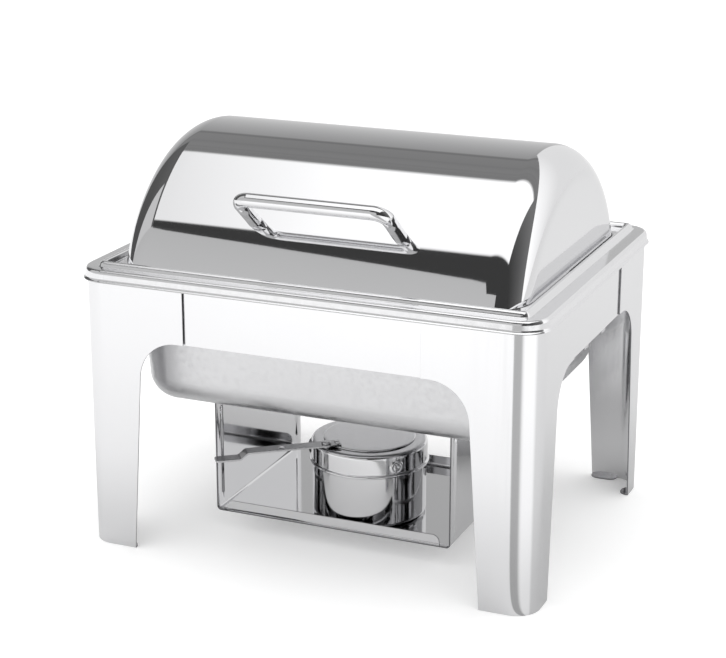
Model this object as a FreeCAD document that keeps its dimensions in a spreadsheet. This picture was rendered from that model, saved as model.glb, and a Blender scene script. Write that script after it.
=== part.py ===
import FreeCAD, Part
import math
import os

import Sketcher
from FreeCAD import Placement, Rotation, Vector

# Roll top chafer for one half-size food pan: a folded sheet stand, a water pan with a
# rim, a lid that rolls back about a cross axis, and a burner on a hanging shelf.
# X runs along the lid's axis, the front faces -Y, +Z is up. The origin lies on the
# surface that it stands on, under the middle of the object.

SIZES = {
    # stand: four folded corner legs outside four flat aprons
    "stand_length": 400.0, "stand_depth": 316.0, "stand_gauge": 1.2,
    "leg_corner_radius": 21.0, "leg_front_wing": 96.3, "leg_side_wing": 92.0,
    "leg_front_waist": 57.5, "leg_side_waist": 52.5,
    "leg_front_foot": 45.0, "leg_side_foot": 38.5,
    "arch_radius": 34.0, "apron_bottom": 187.5, "apron_end_gap": 22.0,
    "front_tab_length": 24.0, "side_tab_length": 16.8, "foot_tab_depth": 9.0,
    # rim: pressed top plate with a skirt, a raised ring and the food pan's opening
    "rim_underside": 242.5, "rim_gauge": 1.0, "rim_overhang": 2.4,
    "rim_corner_radius": 24.0, "rim_edge_radius": 2.0,
    "lip_bottom": 233.6, "lip_height": 1.6, "lip_flare": 1.4,
    "ring_length": 374.0, "ring_depth": 298.0, "ring_width": 7.0, "ring_top": 248.0,
    "ring_corner_radius": 6.0, "ring_edge_radius": 2.0,
    "opening_length": 307.0, "opening_depth": 247.0, "opening_radius": 27.0,
    # water pan, welded under the rim
    "tub_length": 345.0, "tub_depth": 266.0, "tub_bottom": 121.0, "tub_gauge": 1.0,
    "tub_taper": 4.5, "tub_corner_radius": 36.0, "tub_floor_radius": 25.0,
    # half-size food pan, 325 by 265 over its flange, 65 deep
    "pan_flange_length": 325.0, "pan_flange_depth": 265.0, "pan_flange_radius": 18.0,
    "pan_length": 303.0, "pan_depth": 243.0, "pan_drop": 65.0, "pan_gauge": 0.9,
    "pan_taper": 6.0, "pan_corner_radius": 25.0, "pan_floor_radius": 14.0,
    # lid: part of a drum about the roll axis
    "roll_axis_height": 196.0, "lid_radius": 147.5, "lid_length": 354.0,
    "lid_gauge": 1.0, "lid_end_radius": 30.0, "lid_base_height": 243.8,
    "roll_clearance": 1.2, "roll_slot_hub": 30.0,
    # lid arms and pivots
    "arm_gauge": 1.2, "arm_width": 16.0, "arm_top": 290.0, "arm_slot_front": 10.5,
    "pin_radius": 4.0, "pin_running_gap": 0.05, "pin_head_radius": 7.0,
    "pin_head_height": 2.2, "pin_tail_radius": 5.6, "pin_tail_height": 2.0,
    "washer_radius": 8.5, "bracket_face": 179.5, "bracket_gauge": 1.5,
    "bracket_width": 40.0, "bracket_bottom": 184.0, "bracket_top": 220.0,
    "bracket_foot": 10.0, "stop_front": 19.0, "stop_rear": 29.0, "stop_below_axis": 3.3,
    "stop_arm_front": 12.0, "stop_arm_rear": 20.0, "stop_arm_height": 4.0,
    # lid handle: bent round rod
    "rod_radius": 5.8, "handle_half_width": 63.5, "handle_bend": 11.0,
    "handle_offset": 6.0, "bar_front": 148.0, "bar_height": 313.0, "leg_slope": 38.3,
    "rod_length": 47.0,
    "screw_radius": 2.5, "screw_head_radius": 4.5, "screw_head_height": 3.0,
    "screw_depth": 10.0, "screw_hole_depth": 12.0,
    # burner shelf: one folded sheet hung under the water pan
    "shelf_length": 216.0, "shelf_front": 96.5, "shelf_rear": 74.0,
    "shelf_bottom": 19.4, "shelf_gauge": 1.2, "shelf_flange": 12.0,
    "shelf_lip": 9.0, "lip_end_gap": 10.0, "fold_radius": 2.4,
    "bead_inset": 9.5, "bead_width": 6.0, "bead_bottom": 30.0, "bead_top": 114.0,
    "bead_height": 1.2, "bead_hole_radius": 1.5,
    # burner: fuel pot, slip-on cap, swinging disc and its arm
    "pot_x": 13.0, "pot_y": -43.0, "pot_radius": 49.2, "pot_bottom": 20.7,
    "pot_rim": 84.0, "pot_gauge": 0.8, "pot_floor_radius": 4.0,
    "cap_radius": 50.1, "cap_bottom": 66.6, "cap_top": 87.0, "cap_edge_radius": 3.0,
    "cap_opening_radius": 36.0, "cap_bead_height": 2.6, "cap_bead_depth": 1.5,
    "boss_radius": 6.0, "boss_height": 0.9, "boss_hole_radius": 1.6, "boss_level": 75.5,
    "disc_radius": 39.5, "disc_gauge": 1.2, "disc_gap": 0.1,
    "swing_arm_width": 12.0, "swing_arm_gauge": 1.5, "swing_arm_run": 81.0,
    "swing_arm_step": 6.0, "swing_arm_drop": 5.0, "swing_arm_tip": 21.0,
    "swing_rivet_radius": 2.2, "swing_head_radius": 4.2, "swing_head_height": 1.8,
    "grip_hole_radius": 3.0, "disc_rivet_radius": 1.2, "disc_rivet_head_radius": 1.8,
    "disc_rivet_head_height": 0.6, "slit_width": 1.0, "slit_height": 11.0, "slit_rise": 3.5,
}

ARM_START = (-1.2, -73.6)        # inner end of the burner's arm, in plan
ARM_BEARING = 217.4              # direction in which it points, degrees from +X
RIVET_ALONG_ARM = 12.0           # from the arm's inner end to its swing rivet
GRIP_HOLE_ALONG_ARM = 51.0
DISC_RIVETS_ALONG = 2.8
DISC_RIVETS_ACROSS = (-2.5, 2.5) # from the arm's middle line
BOSS_BEARING = -40.0             # where the cap's boss sits, degrees from +X
SLIT_BEARING = 232.0             # where the cap's band is slit
BIG = 500.0                      # longer than the object, for cuts right through

doc = FreeCAD.newDocument("RollTopChafer")
sheet = doc.addObject("Spreadsheet::Sheet", "Sizes")
for row, (alias, size) in enumerate(SIZES.items(), start=1):
    sheet.set(f"A{row}", alias)
    sheet.set(f"B{row}", str(size))
    sheet.setAlias(f"B{row}", alias)
doc.recompute()


class Size:
    """A number together with the sheet expression that gives it."""

    def __init__(self, number, text):
        self.number = number
        self.text = text

    def join(self, sign, other, number):
        return Size(number, f"({self.text} {sign} {wrap(other).text})")

    def __add__(self, other):
        return self.join("+", other, self.number + wrap(other).number)

    def __sub__(self, other):
        return self.join("-", other, self.number - wrap(other).number)

    def __mul__(self, other):
        return self.join("*", other, self.number * wrap(other).number)

    def __truediv__(self, other):
        return self.join("/", other, self.number / wrap(other).number)

    def __radd__(self, other):
        return wrap(other) + self

    def __rsub__(self, other):
        return wrap(other) - self

    def __rmul__(self, other):
        return wrap(other) * self

    def __neg__(self):
        return wrap(0) - self


def wrap(value):
    """A plain number as a Size; a Size as it is."""
    if isinstance(value, Size):
        return value
    return Size(float(value), repr(float(value)))


def cell(alias):
    """One driving size of the sheet."""
    return Size(float(sheet.get(alias)), f"Sizes.{alias}")


def bind(thing, prop, size):
    """Tie one property of an object to the sheet."""
    thing.setExpression(prop, wrap(size).text)


def new_body(label):
    body = doc.addObject("PartDesign::Body", label)
    body.Label = label
    return body


def attach(body, sketch, role, offset):
    """Put a sketch on one of its body's own origin planes, moved along the normal."""
    planes = [p for p in body.Origin.OriginFeatures if p.Role == role]
    sketch.AttachmentSupport = [(planes[0], "")]
    sketch.MapMode = "FlatFace"
    bind(sketch, "AttachmentOffset.Base.z", offset)


def outline(body, name, role, offset, corners, closed=True):
    """Sketch of straight runs. A corner is (x, y) or, at a right angle, (x, y, radius)."""
    sketch = body.newObject("Sketcher::SketchObject", name)
    attach(body, sketch, role, offset)
    count = len(corners)
    ends = []                    # for each corner: where the run before stops and the next starts
    for place, corner in enumerate(corners):
        x, y = wrap(corner[0]), wrap(corner[1])
        if len(corner) == 2:
            ends.append(((x, y), (x, y), None))
            continue
        radius = wrap(corner[2])
        sides = []
        for other in (corners[place - 1], corners[(place + 1) % count]):
            dx = wrap(other[0]).number - x.number
            dy = wrap(other[1]).number - y.number
            way_x = 0 if abs(dx) < abs(dy) else math.copysign(1, dx)
            way_y = 0 if way_x else math.copysign(1, dy)
            sides.append((x + radius * way_x if way_x else x, y + radius * way_y if way_y else y))
        ends.append((sides[0], sides[1], radius))
    runs = count if closed else count - 1
    for place in range(runs):
        start, stop = ends[place][1], ends[(place + 1) % count][0]
        run = sketch.addGeometry(Part.LineSegment(flat(start), flat(stop)), False)
        pin_down(sketch, run, 1, start)
        pin_down(sketch, run, 2, stop)
    for place in range(count):
        radius = ends[place][2]
        if radius is not None:
            round_corner(sketch, corners[place], ends[place], (place - 1) % count, place)
    return sketch


def flat(point):
    return Vector(point[0].number, point[1].number, 0)


def pin_down(sketch, run, end, point):
    """Hold one end of a run at a place given by sheet expressions."""
    axes = (("DistanceX", point[0], -2), ("DistanceY", point[1], -1))
    for kind, size, axis in axes:
        if abs(size.number) < 1e-9:
            sketch.addConstraint(Sketcher.Constraint("PointOnObject", run, end, axis))
            continue
        number = size.number
        index = sketch.addConstraint(Sketcher.Constraint(kind, -1, 1, run, end, number))
        bind(sketch, f"Constraints[{index}]", size)


def round_corner(sketch, corner, end, run_before, run_after):
    """Quarter-circle arc between two runs that meet at a right angle."""
    first, last, radius = flat(end[0]), flat(end[1]), end[2]
    tip = Vector(wrap(corner[0]).number, wrap(corner[1]).number, 0)
    centre = first + last - tip
    middle = centre + (tip - centre).normalize() * radius.number
    turn = (tip - first).cross(last - tip).z
    circle = Part.Arc(first, middle, last) if turn > 0 else Part.Arc(last, middle, first)
    arc = sketch.addGeometry(circle, False)
    near, far = (1, 2) if turn > 0 else (2, 1)
    sketch.addConstraint(Sketcher.Constraint("Coincident", arc, near, run_before, 2))
    sketch.addConstraint(Sketcher.Constraint("Coincident", arc, far, run_after, 1))
    index = sketch.addConstraint(Sketcher.Constraint("Radius", arc, radius.number))
    bind(sketch, f"Constraints[{index}]", radius)


def rectangle(half_x, half_y, radius):
    """Corners of a rounded rectangle about the origin."""
    return [(half_x, half_y, radius), (-half_x, half_y, radius),
            (-half_x, -half_y, radius), (half_x, -half_y, radius)]


def pad(body, name, sketch, length, taper=None, down=False, midplane=False):
    feature = body.newObject("PartDesign::Pad", name)
    feature.Profile = sketch
    bind(feature, "Length", length)
    feature.Reversed = down
    if midplane:
        feature.SideType = "Symmetric"
    if taper is not None:
        bind(feature, "TaperAngle", taper)
    return feature


def pocket(body, name, sketch, length, up=True, both=False):
    """Cut along the sketch's normal (up), against it, or both ways."""
    doc.recompute()
    before = body.Shape.Volume
    feature = body.newObject("PartDesign::Pocket", name)
    feature.Profile = sketch
    bind(feature, "Length", length)
    feature.Reversed = up
    if both:
        feature.SideType = "Symmetric"
    doc.recompute()
    if not body.Shape.Volume < before:
        raise RuntimeError(f"{name} cuts nothing")
    return feature


def slab(body, name, half_x, half_y, radius, bottom, height, cut=False):
    """Rounded rectangular plate about the Z axis, added or cut out."""
    sketch = outline(body, name + "_outline", "XY_Plane", bottom, rectangle(half_x, half_y, radius))
    if cut:
        return pocket(body, name, sketch, height)
    return pad(body, name, sketch, height)


def block(body, name, low, high, cut=False):
    """Box between two corners, added or cut out."""
    kind = "PartDesign::SubtractiveBox" if cut else "PartDesign::AdditiveBox"
    feature = body.newObject(kind, name)
    for prop, axis, start, stop in zip(("Length", "Width", "Height"), "xyz", low, high):
        bind(feature, prop, wrap(stop) - start)
        bind(feature, f"Placement.Base.{axis}", start)
    return feature


def mirrored(side, inner, outer):
    """Low and high bounds of a span that lies on the +side or on the -side."""
    if side > 0:
        return wrap(inner), wrap(outer)
    return -wrap(outer), -wrap(inner)


TURNS = {"X": Rotation(Vector(0, 1, 0), 90), "Y": Rotation(Vector(1, 0, 0), -90), "Z": Rotation()}


def cylinder(body, name, base, axis, radius, length, cut=False):
    """Round bar or hole along +X, +Y or +Z from a base point."""
    kind = "PartDesign::SubtractiveCylinder" if cut else "PartDesign::AdditiveCylinder"
    feature = body.newObject(kind, name)
    feature.Placement = Placement(Vector(), TURNS[axis])
    bind(feature, "Radius", radius)
    bind(feature, "Height", length)
    for letter, place in zip("xyz", base):
        bind(feature, f"Placement.Base.{letter}", place)
    return feature


def soften(body, name, radius, chosen):
    """Round the edges of the body so far that pass the test."""
    doc.recompute()
    tip = body.Tip
    names = [f"Edge{i}" for i, edge in enumerate(tip.Shape.Edges, start=1) if chosen(edge)]
    if not names:
        raise RuntimeError(f"{name} finds no edge")
    feature = body.newObject("PartDesign::Fillet", name)
    feature.Base = (tip, names)
    bind(feature, "Radius", radius)
    return feature


def middle(edge):
    return edge.valueAt((edge.FirstParameter + edge.LastParameter) / 2)


def on_level(height, inside=None):
    """Test for edges that lie flat at one height, and inside a half-length if given."""
    def test(edge):
        box = edge.BoundBox
        flat_there = abs(box.ZMin - height) < 0.01 and abs(box.ZMax - height) < 0.01
        return flat_there and (inside is None or abs(middle(edge).x) < inside)
    return test


# ---------------------------------------------------------------- stand

def leg(label, side_x, side_y):
    """Folded corner leg: a front wing and a side wing that narrow to the foot."""
    gauge = cell("stand_gauge")
    half_x, half_y = cell("stand_length") / 2, cell("stand_depth") / 2
    top, apron = cell("rim_underside"), cell("apron_bottom")
    body = new_body(label)
    fold = cell("leg_corner_radius")
    front_end, side_end = half_x - cell("leg_front_wing"), half_y - cell("leg_side_wing")
    section = [(side_x * front_end, side_y * half_y),
               (side_x * half_x, side_y * half_y, fold),
               (side_x * half_x, side_y * side_end),
               (side_x * (half_x - gauge), side_y * side_end),
               (side_x * (half_x - gauge), side_y * (half_y - gauge), fold - gauge),
               (side_x * front_end, side_y * (half_y - gauge))]
    pad(body, label + "_blank", outline(body, label + "_section", "XY_Plane", 0, section), top)
    wings = (("front", side_x, half_x, "XZ_Plane"), ("side", side_y, half_y, "YZ_Plane"))
    for wing, side, half, plane in wings:
        waist, foot = cell(f"leg_{wing}_waist"), cell(f"leg_{wing}_foot")
        width = cell(f"leg_{wing}_wing")
        corners = [(side * (half - width - 1), wrap(-1)), (side * (half - width - 1), apron),
                   (side * (half - waist), apron), (side * (half - foot), wrap(0)),
                   (side * (half - foot), wrap(-1))]
        sketch = outline(body, f"{label}_{wing}_arch_outline", plane, 0, corners)
        reach = side_y if wing == "front" else side_x
        forward = (reach < 0) if wing == "front" else (reach > 0)
        pocket(body, f"{label}_{wing}_arch", sketch, BIG, up=forward)
    arch_tops = ((half_x - cell("leg_front_waist")).number, (half_y - cell("leg_side_waist")).number)

    def at_arch(edge):
        place = middle(edge)
        if abs(place.z - apron.number) > 0.01 or edge.Length > 3:
            return False
        return abs(abs(place.x) - arch_tops[0]) < 0.01 or abs(abs(place.y) - arch_tops[1]) < 0.01

    soften(body, label + "_arches", cell("arch_radius"), at_arch)
    front_x = mirrored(side_x, half_x - cell("leg_front_foot"),
                       half_x - cell("leg_front_foot") + cell("front_tab_length"))
    front_y = mirrored(side_y, half_y - cell("foot_tab_depth"), half_y - gauge)
    block(body, label + "_front_tab", (front_x[0], front_y[0], 0), (front_x[1], front_y[1], gauge))
    side_xs = mirrored(side_x, half_x - cell("foot_tab_depth"), half_x - gauge)
    side_ys = mirrored(side_y, half_y - cell("leg_side_foot"),
                       half_y - cell("leg_side_foot") + cell("side_tab_length"))
    block(body, label + "_side_tab", (side_xs[0], side_ys[0], 0), (side_xs[1], side_ys[1], gauge))
    return body


def apron(label, along_x, side):
    """Flat panel behind the legs' wings, between two corners."""
    gauge, gap = cell("stand_gauge"), cell("apron_end_gap")
    half_x, half_y = cell("stand_length") / 2, cell("stand_depth") / 2
    body = new_body(label)
    if along_x:
        across = mirrored(side, half_y - gauge * 2, half_y - gauge)
        low, high = (gap - half_x, across[0]), (half_x - gap, across[1])
    else:
        across = mirrored(side, half_x - gauge * 2, half_x - gauge)
        low, high = (across[0], gap - half_y), (across[1], half_y - gap)
    block(body, label + "_panel", (*low, cell("apron_bottom")), (*high, cell("rim_underside")))
    return body


# ---------------------------------------------------------------- rim and pans

def rim_frame():
    """Pressed top plate: rolled lip, skirt, flat flange, raised ring, ledge for the pan."""
    body = new_body("rim_frame")
    gauge, under, over = cell("rim_gauge"), cell("rim_underside"), cell("rim_overhang")
    half_x = cell("stand_length") / 2 + over
    half_y = cell("stand_depth") / 2 + over
    corner, flare = cell("rim_corner_radius"), cell("lip_flare")
    top = under + gauge
    slab(body, "rim_blank", half_x, half_y, corner, cell("lip_bottom"), top - cell("lip_bottom"))
    soften(body, "rim_top_edge", cell("rim_edge_radius"), on_level(top.number))
    slab(body, "rim_lip", half_x + flare, half_y + flare, corner + flare,
         cell("lip_bottom"), cell("lip_height"))
    slab(body, "rim_hollow", half_x - gauge, half_y - gauge, corner - gauge,
         cell("lip_bottom") - 1, under - cell("lip_bottom") + 1, cut=True)
    ring_x, ring_y = cell("ring_length") / 2, cell("ring_depth") / 2
    ring_corner, width = cell("ring_corner_radius"), cell("ring_width")
    slab(body, "ring_blank", ring_x, ring_y, ring_corner, under, cell("ring_top") - under)
    slab(body, "ring_inside", ring_x - width, ring_y - width, ring_corner / 2,
         top, cell("ring_top") - top + 1, cut=True)
    soften(body, "ring_edges", cell("ring_edge_radius"), on_level(cell("ring_top").number))
    slab(body, "pan_opening", cell("opening_length") / 2, cell("opening_depth") / 2,
         cell("opening_radius"), under - 1, cell("ring_top") - under + 2, cut=True)
    roll_slot(body)
    return body


def roll_slot(body):
    """Slot round the back half, in which the lid's skirt rolls down behind the water pan."""
    gap = cell("roll_clearance")
    axis, gauge = cell("roll_axis_height"), cell("lid_gauge")
    outer_x, outer_r = cell("lid_length") / 2 + gap, cell("lid_radius") + gap
    inner_x = cell("lid_length") / 2 - gauge - cell("arm_gauge") - gap
    inner_r = cell("lid_radius") - gauge - gap
    round_out = cell("lid_end_radius") + gap
    round_in = cell("lid_end_radius") - gauge - gap
    hub = cell("roll_slot_hub")
    corners = [(outer_x, hub), (outer_x, outer_r, round_out), (-outer_x, outer_r, round_out),
               (-outer_x, hub), (-inner_x, hub), (-inner_x, inner_r, round_in),
               (inner_x, inner_r, round_in), (inner_x, hub)]
    sketch = outline(body, "roll_slot_outline", "XZ_Plane", 0, corners)
    bind(sketch, "AttachmentOffset.Base.y", axis)
    doc.recompute()
    before = body.Shape.Volume
    groove = body.newObject("PartDesign::Groove", "roll_slot")
    groove.Profile = sketch
    groove.ReferenceAxis = (sketch, ["H_Axis"])
    groove.Angle = 90
    groove.Reversed = True
    doc.recompute()
    if not body.Shape.Volume < before:
        raise RuntimeError("the roll slot cuts nothing")
    for side, name in ((-1, "left"), (1, "right")):
        span = mirrored(side, inner_x, outer_x)
        block(body, f"arm_slot_{name}", (span[0], -cell("arm_slot_front"), cell("rim_underside") - 1),
              (span[1], wrap(1), cell("rim_underside") + cell("rim_gauge") + 1), cut=True)


def drawn_block(label, half_x, half_y, top, drop, taper, corner, floor_radius):
    """Solid the shape of a drawn tray: walls drawing in towards a rounded floor."""
    body = new_body(label)
    sketch = outline(body, label + "_outline", "XY_Plane", top, rectangle(half_x, half_y, corner))
    pad(body, label + "_block", sketch, drop, taper=-taper, down=True)
    soften(body, label + "_floor_edge", floor_radius, on_level((top - drop).number))
    return body


def subtract(label, base, tool):
    cut = doc.addObject("Part::Cut", label)
    cut.Base, cut.Tool = base, tool
    cut.Label = label
    return cut


def water_pan():
    top, gauge, taper = cell("rim_underside"), cell("tub_gauge"), cell("tub_taper")
    half_x, half_y, drop = cell("tub_length") / 2, cell("tub_depth") / 2, top - cell("tub_bottom")
    corner, bend = cell("tub_corner_radius"), cell("tub_floor_radius")
    outside = drawn_block("tub_outside", half_x, half_y, top, drop, taper, corner, bend)
    room = drawn_block("tub_room", half_x - gauge, half_y - gauge, top, drop - gauge, taper,
                       corner - gauge, bend - gauge)
    return subtract("water_pan", outside, room)


def food_pan():
    ledge, gauge = cell("rim_underside") + cell("rim_gauge"), cell("pan_gauge")
    half_x, half_y, drop = cell("pan_length") / 2, cell("pan_depth") / 2, cell("pan_drop")
    corner, bend, taper = cell("pan_corner_radius"), cell("pan_floor_radius"), cell("pan_taper")
    top = ledge + gauge
    outside = drawn_block("pan_outside", half_x, half_y, top, drop, taper, corner, bend)
    slab(outside, "pan_flange", cell("pan_flange_length") / 2, cell("pan_flange_depth") / 2,
         cell("pan_flange_radius"), ledge, gauge)
    room = drawn_block("pan_room", half_x - gauge, half_y - gauge, top, drop - gauge, taper,
                       corner - gauge, bend - gauge)
    return subtract("food_pan", outside, room)


# ---------------------------------------------------------------- lid

def lid_shell():
    """Drum segment with rounded ends, open below, spun about the roll axis."""
    body = new_body("lid_shell")
    bind(body, "Placement.Base.z", cell("roll_axis_height"))
    half, radius, gauge = cell("lid_length") / 2, cell("lid_radius"), cell("lid_gauge")
    rounding = cell("lid_end_radius")
    solid = outline(body, "drum_outline", "XZ_Plane", 0,
                    [(half, wrap(0)), (half, radius, rounding), (-half, radius, rounding),
                     (-half, wrap(0))])
    drum = body.newObject("PartDesign::Revolution", "drum")
    drum.Profile = solid
    drum.ReferenceAxis = (solid, ["H_Axis"])
    drum.Angle = 360
    room = outline(body, "drum_room_outline", "XZ_Plane", 0,
                   [(half - gauge, wrap(0)), (half - gauge, radius - gauge, rounding - gauge),
                    (gauge - half, radius - gauge, rounding - gauge), (gauge - half, wrap(0))])
    hollow = body.newObject("PartDesign::Groove", "drum_room")
    hollow.Profile = room
    hollow.ReferenceAxis = (room, ["H_Axis"])
    hollow.Angle = 360
    base = cell("lid_base_height") - cell("roll_axis_height")
    block(body, "drum_below", (wrap(-BIG), wrap(-BIG), wrap(-BIG)), (wrap(BIG), wrap(BIG), base),
          cut=True)
    for side, place in ((-1, "left"), (1, "right")):
        hole = body.newObject("PartDesign::SubtractiveCylinder", f"screw_hole_{place}")
        bind(hole, "Radius", cell("screw_radius"))
        bind(hole, "Height", cell("screw_hole_depth") * 2)
        lay_along_leg(hole, side, -cell("screw_hole_depth").number,
                      base_height=cell("roll_axis_height"))
    return body


def leg_direction():
    """Unit vector from the lid out along the handle's legs."""
    slope = math.radians(cell("leg_slope").number)
    return Vector(0, -math.cos(slope), math.sin(slope))


def leg_foot():
    """Where the centre line of the handle's legs meets the lid's outside, at X = 0."""
    bar = Vector(0, -cell("bar_front").number, cell("bar_height").number)
    axis = Vector(0, 0, cell("roll_axis_height").number)
    way = leg_direction()
    offset = bar - axis
    along = offset.dot(way)
    reach = offset.dot(offset) - cell("lid_radius").number ** 2
    return bar - way * (along - math.sqrt(along * along - reach))


def lay_along_leg(feature, side, start, base_height=None):
    """Place a round feature on a handle leg's centre line, from start measured off the lid."""
    place = leg_foot() + leg_direction() * start
    place.x = side * cell("handle_half_width").number + cell("handle_offset").number
    if base_height is not None:
        place.z -= base_height.number
    feature.Placement = Placement(place, Rotation(Vector(0, 0, 1), leg_direction()))


def lid_handle():
    """Round rod bent to a U, its feet trimmed to the lid's curve and tapped for screws."""
    rod = new_body("handle_rod")
    half, reach, bend = cell("handle_half_width"), cell("rod_length"), cell("handle_bend")
    path = outline(rod, "rod_path", "XY_Plane", 0,
                   [(-half, wrap(0)), (-half, reach, bend), (half, reach, bend), (half, wrap(0))],
                   closed=False)
    section = rod.newObject("Sketcher::SketchObject", "rod_section")
    attach(rod, section, "XZ_Plane", 0)
    circle = Part.Circle(Vector(-half.number, 0, 0), Vector(0, 0, 1), cell("rod_radius").number)
    section.addGeometry(circle, False)
    section.addConstraint(Sketcher.Constraint("PointOnObject", 0, 3, -1))
    place = section.addConstraint(Sketcher.Constraint("DistanceX", -1, 1, 0, 3, -half.number))
    bind(section, f"Constraints[{place}]", -half)
    size = section.addConstraint(Sketcher.Constraint("Radius", 0, cell("rod_radius").number))
    bind(section, f"Constraints[{size}]", cell("rod_radius"))
    pipe = rod.newObject("PartDesign::AdditivePipe", "rod")
    pipe.Profile = section
    doc.recompute()
    pipe.Spine = (path, [f"Edge{i}" for i in range(1, len(path.Shape.Edges) + 1)])
    bar = Vector(0, -cell("bar_front").number, cell("bar_height").number)
    turn = Rotation(Vector(1, 0, 0), 180 - cell("leg_slope").number)
    foot = bar - leg_direction() * reach.number
    rod.Placement = Placement(Vector(cell("handle_offset").number, foot.y, foot.z), turn)
    lid = doc.addObject("Part::Cylinder", "lid_outside")
    bind(lid, "Radius", cell("lid_radius"))
    bind(lid, "Height", cell("lid_length"))
    lid.Placement = Placement(Vector(-cell("lid_length").number / 2, 0, cell("roll_axis_height").number),
                              TURNS["X"])
    tools = [lid]
    for side, name in ((-1, "left"), (1, "right")):
        tap = doc.addObject("Part::Cylinder", f"tapped_hole_{name}")
        bind(tap, "Radius", cell("screw_radius"))
        bind(tap, "Height", cell("screw_hole_depth") * 2)
        lay_along_leg(tap, side, -cell("screw_hole_depth").number)
        tools.append(tap)
    cutter = doc.addObject("Part::MultiFuse", "handle_cutter")
    cutter.Shapes = tools
    handle = doc.addObject("Part::Cut", "lid_handle")
    handle.Base = rod
    handle.Tool = cutter
    handle.Label = "lid_handle"
    return handle


def handle_screws():
    """Two cheese-head screws, put in from inside the lid."""
    pieces = []
    depth, head_height = cell("screw_depth"), cell("screw_head_height")
    under_head = cell("lid_gauge") + 1     # clear of the lid's curved inside
    for side, name in ((-1, "left"), (1, "right")):
        shank = doc.addObject("Part::Cylinder", f"screw_shank_{name}")
        bind(shank, "Radius", cell("screw_radius"))
        bind(shank, "Height", depth + cell("lid_gauge"))
        lay_along_leg(shank, side, -under_head.number)
        head = doc.addObject("Part::Cylinder", f"screw_head_{name}")
        bind(head, "Radius", cell("screw_head_radius"))
        bind(head, "Height", head_height)
        lay_along_leg(head, side, -(under_head + head_height).number)
        screw = doc.addObject("Part::Fuse", f"screw_{name}")
        screw.Base, screw.Tool = shank, head
        pieces.append(screw)
    group = doc.addObject("Part::Compound", "handle_screws")
    group.Links = pieces
    group.Label = "handle_screws"
    return group


# ---------------------------------------------------------------- pivots

def lid_arm(label, side):
    """Strip welded inside one end of the lid, with the pivot hole at its foot."""
    body = new_body(label)
    inner_face = cell("lid_length") / 2 - cell("lid_gauge")
    half, axis = cell("arm_width") / 2, cell("roll_axis_height")
    corners = [(half, axis - half, half - 0.5), (half, cell("arm_top"), half - 0.5),
               (-half, cell("arm_top"), half - 0.5), (-half, axis - half, half - 0.5)]
    offset = inner_face - cell("arm_gauge") if side > 0 else -inner_face
    sketch = outline(body, label + "_outline", "YZ_Plane", offset, corners)
    pad(body, label + "_strip", sketch, cell("arm_gauge"))
    cylinder(body, label + "_hole", (offset - 1, 0, axis), "X",
             cell("pin_radius") + cell("pin_running_gap"), cell("arm_gauge") + 2, cut=True)
    return body


def pivot_bracket(label, side):
    """Channel welded to the end apron: web with the pin hole, two legs, feet and a stop tab."""
    body = new_body(label)
    web, gauge, half = cell("bracket_face"), cell("bracket_gauge"), cell("bracket_width") / 2
    wall = cell("stand_length") / 2 - cell("stand_gauge") * 2
    low, high, axis = cell("bracket_bottom"), cell("bracket_top"), cell("roll_axis_height")
    spans = (("web", web, web + gauge, -half, half),
             ("front_leg", web, wall, -half, gauge - half),
             ("rear_leg", web, wall, half - gauge, half),
             ("front_foot", wall - gauge, wall, -half - cell("bracket_foot"), -half),
             ("rear_foot", wall - gauge, wall, half, half + cell("bracket_foot")))
    for name, inner, outer, front, rear in spans:
        x_low, x_high = mirrored(side, inner, outer)
        block(body, f"{label}_{name}", (x_low, front, low), (x_high, rear, high))
    x_low, x_high = mirrored(side, cell("lid_length") / 2 - cell("lid_gauge") - cell("arm_gauge"), web)
    block(body, label + "_stop_arm", (x_low, cell("stop_arm_front"), low),
          (x_high, cell("stop_arm_rear"), low + cell("stop_arm_height")))
    block(body, label + "_stop", (x_low, cell("stop_front"), low),
          (x_high, cell("stop_rear"), axis - cell("stop_below_axis")))
    start = web - 1 if side > 0 else -(web + gauge + 1)
    cylinder(body, label + "_hole", (start, 0, axis), "X", cell("pin_radius"), gauge + 2, cut=True)
    return body


def pivot_pin(label, side):
    """Shoulder rivet on the roll axis, headed inside the arm and closed behind the bracket."""
    body = new_body(label)
    axis = cell("roll_axis_height")
    arm_inside = cell("lid_length") / 2 - cell("lid_gauge") - cell("arm_gauge")
    gap = wrap(0.3)
    head_end = arm_inside - gap
    back = cell("bracket_face") + cell("bracket_gauge")
    spans = (("head", head_end - cell("pin_head_height"), head_end, cell("pin_head_radius")),
             ("shank", head_end, back, cell("pin_radius")),
             ("tail", back, back + cell("pin_tail_height"), cell("pin_tail_radius")))
    for name, inner, outer, radius in spans:
        low, high = mirrored(side, inner, outer)
        cylinder(body, f"{label}_{name}", (low, 0, axis), "X", radius, high - low)
    return body


def pivot_washer(label, side):
    """Spacer on the pin between the arm and the bracket."""
    body = new_body(label)
    axis, gap = cell("roll_axis_height"), 0.2
    low, high = mirrored(side, cell("lid_length") / 2 - cell("lid_gauge") + gap, cell("bracket_face"))
    cylinder(body, label + "_disc", (low, 0, axis), "X", cell("washer_radius"), high - low)
    cylinder(body, label + "_hole", (low - 1, 0, axis), "X", cell("pin_radius"), high - low + 2,
             cut=True)
    return body


# ---------------------------------------------------------------- burner shelf

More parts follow.
